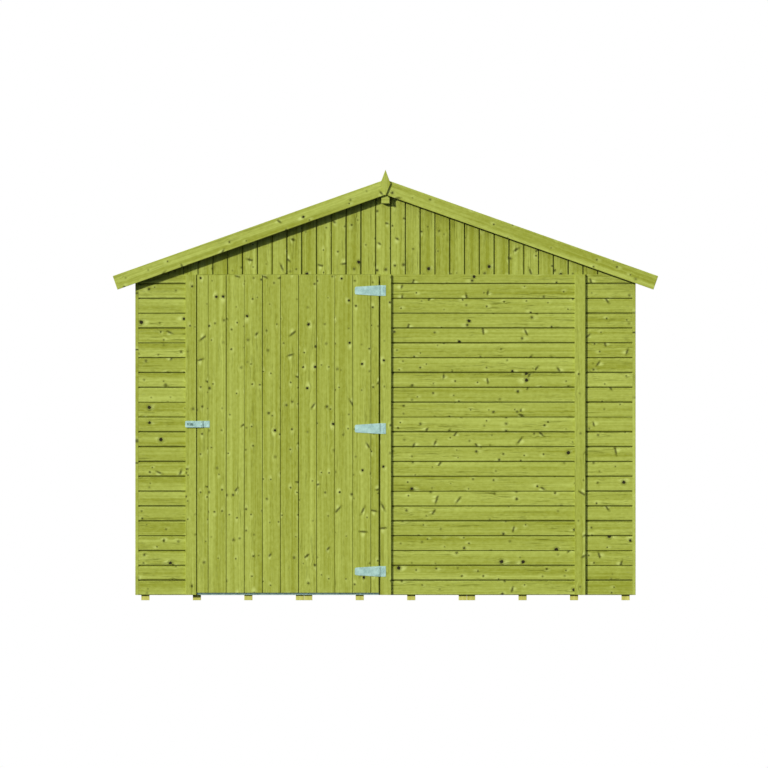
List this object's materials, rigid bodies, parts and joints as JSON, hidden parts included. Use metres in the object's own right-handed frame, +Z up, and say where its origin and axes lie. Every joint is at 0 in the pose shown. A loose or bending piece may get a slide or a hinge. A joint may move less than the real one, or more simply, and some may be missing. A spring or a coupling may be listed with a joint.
{
  "type": "apex garden shed",
  "caption": "Boarded timber garden shed with a pitched felt roof, a floor on joists, and a ledged and braced door on tee hinges that closes with a hasp and staple.",
  "frame": {"origin": "ground level, under the middle of the building's overall box", "axes": "+X to the right seen from the door side, -Y out of the front, +Z up"},
  "size_m": [3.328, 2.548, 2.6267],
  "materials": {
    "treated_timber": "planed softwood, pressure treated, yellow-green, unpainted",
    "floor_timber": "sawn softwood, pressure treated, paler and yellower",
    "zinc_plated_steel": "bright zinc plate with a pale blue-green passivation",
    "roofing_felt": "green mineral-surfaced bitumen felt, matt and gritty"
  },
  "bodies": {
    "shed": {"floor_joists": "floor_timber", "floor_boards": "floor_timber", "threshold_plate": "zinc_plated_steel", "front_cladding_left": "treated_timber", "front_cladding_right": "treated_timber", "front_cladding_end": "treated_timber", "back_cladding": "treated_timber", "left_cladding": "treated_timber", "right_cladding": "treated_timber", "front_studs": "treated_timber", "door_jambs": "treated_timber", "back_studs": "treated_timber", "side_studs": "treated_timber", "wall_rails": "treated_timber", "side_rails": "treated_timber", "eaves_rails": "treated_timber", "front_cover_strips": "treated_timber", "back_cover_strips": "treated_timber", "side_cover_strips": "treated_timber", "corner_trims": "treated_timber", "front_gable_left": "treated_timber", "front_gable_right": "treated_timber", "back_gable": "treated_timber", "gable_soles": "treated_timber", "gable_posts": "treated_timber", "gable_rafters": "treated_timber", "ridge_beam": "treated_timber", "roof_rails": "treated_timber", "roof_rafters": "treated_timber", "roof_boards_left": "treated_timber", "roof_boards_right": "treated_timber", "roof_felt_left": "roofing_felt", "roof_felt_right": "roofing_felt", "eaves_battens": "treated_timber", "barge_boards_left": "treated_timber", "barge_boards_right": "treated_timber", "finials": "treated_timber", "hinge_plates": "zinc_plated_steel", "hasp_staple": "zinc_plated_steel"},
    "door": {"door_boards": "treated_timber", "door_ledges": "treated_timber", "door_braces": "treated_timber", "hinge_straps": "zinc_plated_steel", "hasp_leaf": "zinc_plated_steel"},
    "hasp": {"hasp_arm": "zinc_plated_steel"}
  },
  "joints": [
    {"name": "door_hinge", "type": "hinge", "parent": "shed", "child": "door", "pos_m": [-0.037, -1.2252, 1], "axis": [0, 0, 1], "range_deg": [0, 165]},
    {"name": "hasp_hinge", "type": "hinge", "parent": "door", "child": "hasp", "pos_m": [-1.118, -1.227, 1.074], "axis": [0, 0, 1], "range_deg": [0, 150]}
  ]
}
